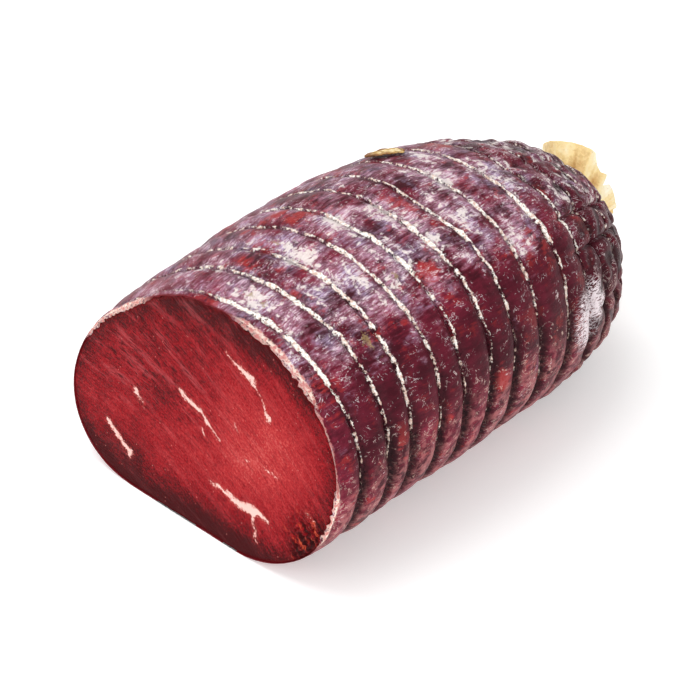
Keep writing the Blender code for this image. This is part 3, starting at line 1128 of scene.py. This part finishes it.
def fat_depth(across, up):
    """Depth inside the nearest fat streak, millimetres; negative outside."""
    place = Vector((across, up, 0.0))
    across += FAT_WARP * (noise.noise(place / 2.6) + 0.5 * noise.noise(place / 1.1))
    up += FAT_WARP * noise.noise(place / 2.6 + Vector((7.0, 3.0, 5.0)))
    deepest = -9.0
    for streak in FAT_STREAKS:
        for (x0, z0, w0), (x1, z1, w1) in zip(streak, streak[1:]):
            run_x = x1 - x0
            run_z = z1 - z0
            share = ((across - x0) * run_x + (up - z0) * run_z) / (run_x ** 2 + run_z ** 2)
            share = min(max(share, 0.0), 1.0)
            away = math.hypot(across - x0 - share * run_x, up - z0 - share * run_z)
            deepest = max(deepest, FAT_WIDEN * (w0 + (w1 - w0) * share) - away)
    return deepest


def fibre_rise(across):
    """Rise of the curved fibres above their own middle, millimetres."""
    first = math.radians(FIBRE_SLOPES[0])
    turn = math.radians(FIBRE_SLOPES[1]) - first
    slope = first + turn * (across - FIBRE_SPAN[0]) / (FIBRE_SPAN[1] - FIBRE_SPAN[0])
    return -(FIBRE_SPAN[1] - FIBRE_SPAN[0]) / turn * math.log(math.cos(slope))


def lean_brightness(across, up, rim):
    """Tone of the lean from 0 to 1 at a place on the cut, millimetres."""
    tone = 0.38
    for middle_x, middle_z, wide, high, change in LEAN_TONES:
        tone += change * bell((across - middle_x) / wide) * bell((up - middle_z) / high)
    return tone - 0.20 * smooth_step(9.0, 0.0, rim)


class BRESAOLA_OT_lean(bpy.types.Operator):
    """Build the cut end with its fibres and fat streaks"""

    bl_idname = "bresaola.lean"
    bl_label = "Cut end"

    def execute(self, context):
        rows = LEAN_RINGS + 1
        shape = bmesh.new()
        bmesh.ops.create_uvsphere(shape, u_segments=LEAN_COLUMNS, v_segments=rows + 1, radius=1.0)
        layers = {name: shape.verts.layers.float.new(name) for name in LEAN_MARKS}
        flow = shape.verts.layers.float_vector.new("flow")
        outlines = {}

        def place(vertex, row, column_angle):
            if column_angle is None:
                point = Vector(row)
                rim = MIDDLE_RIM
            else:
                if column_angle not in outlines:
                    outlines[column_angle] = inner_outline(column_angle, LEAN_GAP)
                outline = outlines[column_angle]
                share = min((row + 1) / LEAN_RINGS, 1.0)
                edge = Vector((outline.x, 0.0, outline.z))
                flat = CUT_MIDDLE.lerp(edge, share)
                rim = (edge - flat).length / MM
                point = on_cut(flat, LEAN_DEPTH if row >= LEAN_RINGS else 0.0)
            across = point.x / MM
            up = point.z / MM
            fat = fat_depth(across, up)
            spot_x, spot_z, spot_size = TORN_SPOT
            torn = smooth_step(spot_size, 0.4 * spot_size, math.hypot(across - spot_x, up - spot_z))
            lined = 0.30 + 0.70 * smooth_step(*LINED_ACROSS, across) * smooth_step(*LINED_UP, up)
            if column_angle is None or row < LEAN_RINGS:
                rough = noise.noise(Vector((across / 5.0, up / 5.0, 0.0)))
                pits = noise.noise(Vector((across / 1.3, up / 1.3, 4.0)))
                sink = EDGE_SINK * smooth_step(1.6, 0.0, rim) + DIP_SINK * rough
                sink += FAT_SINK * smooth_step(0.0, 0.5, fat)
                sink += TORN_SINK * torn * smooth_step(-0.1, 0.35, pits)
                if column_angle is not None or point.y < 0.5 * LEAN_DEPTH:
                    point.y += sink
            vertex.co = placed(point)
            vertex[flow] = (across, up + fibre_rise(across), 0.0)
            values = (lean_brightness(across, up, rim), rim, fat, torn, lined)
            for name, value in zip(LEAN_MARKS, values):
                vertex[layers[name]] = value

        ends = (on_cut(CUT_MIDDLE), on_cut(CUT_MIDDLE, LEAN_DEPTH))
        map_globe(shape, LEAN_COLUMNS, rows, place, ends)
        material = lean_material(context.scene.bresaola_lean)
        check_closed(shape, "cut_lean")
        finish_piece(shape, "cut_lean", None, material)
        return {"FINISHED"}


def tail_reach(angle):
    """How far the tail reaches from its root at one angle round it."""
    turn = math.degrees(angle)
    for (start, first), (end, second) in zip(TAIL_EDGE, TAIL_EDGE[1:]):
        if turn <= end:
            return first + (second - first) * (turn - start) / (end - start)
    return TAIL_EDGE[-1][1]


def tail_point(across, outward):
    """Point of the tail: a ruffled fan that opens from its root."""
    angle = TAIL_FROM + (TAIL_TO - TAIL_FROM) * across
    opened = smooth_step(TAIL_OPENS_FROM, TAIL_OPENS_TO, across)
    spread = TAIL_SPREAD_FROM + (TAIL_SPREAD_TO - TAIL_SPREAD_FROM) * opened
    sideways = Vector((math.cos(angle), 0.0, math.sin(angle)))
    backwards = Vector((0.0, 1.0, 0.0))
    along = sideways * math.sin(spread) + backwards * math.cos(spread)
    facing = sideways * math.cos(spread) - backwards * math.sin(spread)
    ruffle = TAIL_RUFFLE * outward * math.sin(math.tau * TAIL_RUFFLES * across + TAIL_RUFFLE_START)
    crimp = noise.noise(Vector((across * 60.0, outward * 5.0, 2.0)))
    ruffle += TAIL_CRIMP * outward * crimp
    neck = sideways * TAIL_NECK * (1.0 - outward)
    rough = 1.0 + 0.010 * noise.noise(Vector((across * 40.0, 0.0, 9.0)))
    reach = tail_reach(angle) * rough
    return TAIL_ROOT + neck + along * reach * outward + facing * ruffle


def flap_point(along_share, round_share):
    """Point of the flap: a ragged, wrinkled lens that arches off the roll."""
    bulge = math.sin(math.pi * (0.12 + 0.70 * along_share))
    edge = Vector((7.0 * along_share, 1.0 if round_share < 0.5 else 5.0, 0.0))
    ragged = 1.0 + FLAP_RAGGED * (noise.noise(edge) + 0.6 * noise.noise(3.0 * edge))
    turn = FLAP_TURN * (along_share - 0.5) + FLAP_SPREAD * (0.5 - round_share) * bulge * ragged
    end = Vector((2.0 if along_share < 0.5 else 6.0, 6.0 * round_share, 3.0))
    along = FLAP_MIDDLE + FLAP_LENGTH * (along_share - 0.5) * (1.0 + 0.5 * FLAP_RAGGED * noise.noise(end))
    wrinkle = abs(noise.noise(Vector((3.0 * along_share, 11.0 * round_share, 6.0))))
    lift = FLAP_LIFT * math.sin(math.pi * (0.10 + 0.62 * round_share)) * bulge + FLAP_WRINKLE * wrinkle
    return skin_point(along, FLAP_ANGLE + turn, FLAP_GAP + lift)


def make_leaf(name, columns, rows, place, wall, material, folded):
    """A thin wavy sheet with a wall, from a grid that place bends; folded gives its tones."""
    shape = bmesh.new()
    bmesh.ops.create_grid(shape, x_segments=columns, y_segments=rows, size=0.5)
    root = shape.verts.layers.float.new("root")
    fold = shape.verts.layers.float.new("fold")
    for vertex in shape.verts:
        across = vertex.co.x + 0.5
        outward = vertex.co.y + 0.5
        vertex[root] = 1.0 - outward
        vertex[fold] = folded(across, outward)
        point = place(across, outward)
        vertex.co = point + CUT_PLACE - Vector((0.0, 0.0, GROUND_FLAT))
    bmesh.ops.triangulate(shape, faces=shape.faces)
    bmesh.ops.recalc_face_normals(shape, faces=shape.faces)
    piece = finish_piece(shape, name + "_leaf", name, material)
    thicken = piece.modifiers.new("wall", "SOLIDIFY")
    thicken.thickness = wall
    thicken.offset = 0.0
    return piece


class BRESAOLA_OT_dry_casing(bpy.types.Operator):
    """Build the ruffled dry tail and the loose flap"""

    bl_idname = "bresaola.dry_casing"
    bl_label = "Dry casing"

    def execute(self, context):
        material = dry_material(context.scene.bresaola_dry)

        def ruffle_fold(across, outward):
            # Darker amber in the hollows of the ruffles: partly the casing's own colour, partly painted
            # shade.
            fold = max(0.0, -math.sin(math.tau * TAIL_RUFFLES * across + TAIL_RUFFLE_START))
            fold += 0.9 * noise.noise(Vector((across * 70.0, 3.0, 1.0)))
            for middle, half, change in TAIL_TONES_AND_PAINTED_LIGHT:
                fold += change * bell((across - middle) / half)
            return fold

        def end_fold(across, outward):
            mottle = 2.4 * noise.noise(Vector((7.0 * across, 9.0 * outward, 2.0)))
            return 4.0 * (2.0 * across - 1.0) ** 2 + 3.0 * (2.0 * outward - 1.0) ** 4 + mottle

        make_leaf("casing_tail", TAIL_COLUMNS, TAIL_ROWS, tail_point, TAIL_WALL, material, ruffle_fold)
        make_leaf("casing_flap", FLAP_COLUMNS, FLAP_ROWS, flap_point, FLAP_WALL, material, end_fold)
        return {"FINISHED"}


def add_light(name, place, size, power):
    """A soft square light that faces the roll."""
    data = bpy.data.lights.new(name, "AREA")
    data.size = size
    data.energy = power
    light = show(name, data)
    light.location = place
    light.rotation_euler = (Vector(LIGHT_AIM) - Vector(place)).to_track_quat("-Z", "Y").to_euler()


class BRESAOLA_OT_stage(bpy.types.Operator):
    """Build the pale floor, the soft lights and the camera"""

    bl_idname = "bresaola.stage"
    bl_label = "Stage"

    def execute(self, context):
        look = context.scene.bresaola_stage
        shape = bmesh.new()
        bmesh.ops.create_grid(shape, x_segments=1, y_segments=1, size=FLOOR_SIZE / 2.0)
        mesh = bpy.data.meshes.new("floor")
        shape.to_mesh(mesh)
        shape.free()
        nodes = Nodes("floor")
        nodes.set(Base_Color=look.floor, Roughness=0.8, Specular_IOR_Level=0.1)
        nodes.set(Emission_Color=WHITE, Emission_Strength=FLOOR_GLOW)
        mesh.materials.append(nodes.material)
        floor = show("floor", mesh)

        world = bpy.data.worlds.new("soft_room")
        world.use_nodes = True
        room = world.node_tree.nodes["Background"]
        room.inputs["Color"].default_value = WHITE
        room.inputs["Strength"].default_value = ROOM_LIGHT
        context.scene.world = world
        for light in LIGHTS:
            add_light(*light)
        context.scene.view_settings.view_transform = "Standard"

        back = Vector((
            math.sin(CAMERA_AZIMUTH) * math.cos(CAMERA_ELEVATION),
            -math.cos(CAMERA_AZIMUTH) * math.cos(CAMERA_ELEVATION),
            math.sin(CAMERA_ELEVATION),
        ))
        data = bpy.data.cameras.new("camera")
        data.lens = look.lens
        data.sensor_width = 36.0
        data.clip_start = 0.01
        camera = show("camera", data)
        camera.location = CAMERA_AIM + back * look.distance
        upright = (-back).to_track_quat("-Z", "Y")
        roll = Euler((0.0, 0.0, -CAMERA_ROLL)).to_quaternion()
        camera.rotation_euler = (upright @ roll).to_euler()
        context.scene.camera = camera
        return {"FINISHED"}


class BRESAOLA_PT_panel(bpy.types.Panel):
    """The sidebar panel of the bresaola"""

    bl_idname = "BRESAOLA_PT_panel"
    bl_label = "Bresaola Half"
    bl_space_type = "VIEW_3D"
    bl_region_type = "UI"
    bl_category = "Bresaola"

    def draw(self, context):
        scene = context.scene
        groups = (
            (scene.bresaola_casing, "bresaola.casing"),
            (scene.bresaola_lean, "bresaola.lean"),
            (scene.bresaola_dry, "bresaola.dry_casing"),
            (scene.bresaola_stage, "bresaola.stage"),
        )
        for look, operator in groups:
            box = self.layout.box()
            for key in look.__annotations__:
                box.prop(look, key)
            box.operator(operator)


LOOKS = {
    "bresaola_casing": BresaolaCasingLook,
    "bresaola_lean": BresaolaLeanLook,
    "bresaola_dry": BresaolaDryLook,
    "bresaola_stage": BresaolaStageLook,
}
CLASSES = (
    *LOOKS.values(),
    BRESAOLA_OT_casing,
    BRESAOLA_OT_lean,
    BRESAOLA_OT_dry_casing,
    BRESAOLA_OT_stage,
    BRESAOLA_PT_panel,
)


def register():
    for item in CLASSES:
        bpy.utils.register_class(item)
    for name, look in LOOKS.items():
        setattr(bpy.types.Scene, name, bpy.props.PointerProperty(type=look))


def unregister():
    for name in LOOKS:
        delattr(bpy.types.Scene, name)
    for item in reversed(CLASSES):
        bpy.utils.unregister_class(item)


def clear_scene():
    """Removes what a new file holds, and keeps the loaded frame."""
    kept = set(frame["nodes"].values()) | set(frame["bodies"].values())
    for thing in list(bpy.data.objects):
        if thing not in kept:
            bpy.data.objects.remove(thing, do_unlink=True)


def main():
    register()
    clear_scene()
    bpy.ops.bresaola.stage()
    bpy.ops.bresaola.casing()
    bpy.ops.bresaola.lean()
    bpy.ops.bresaola.dry_casing()


if __name__ == "__main__":
    main()
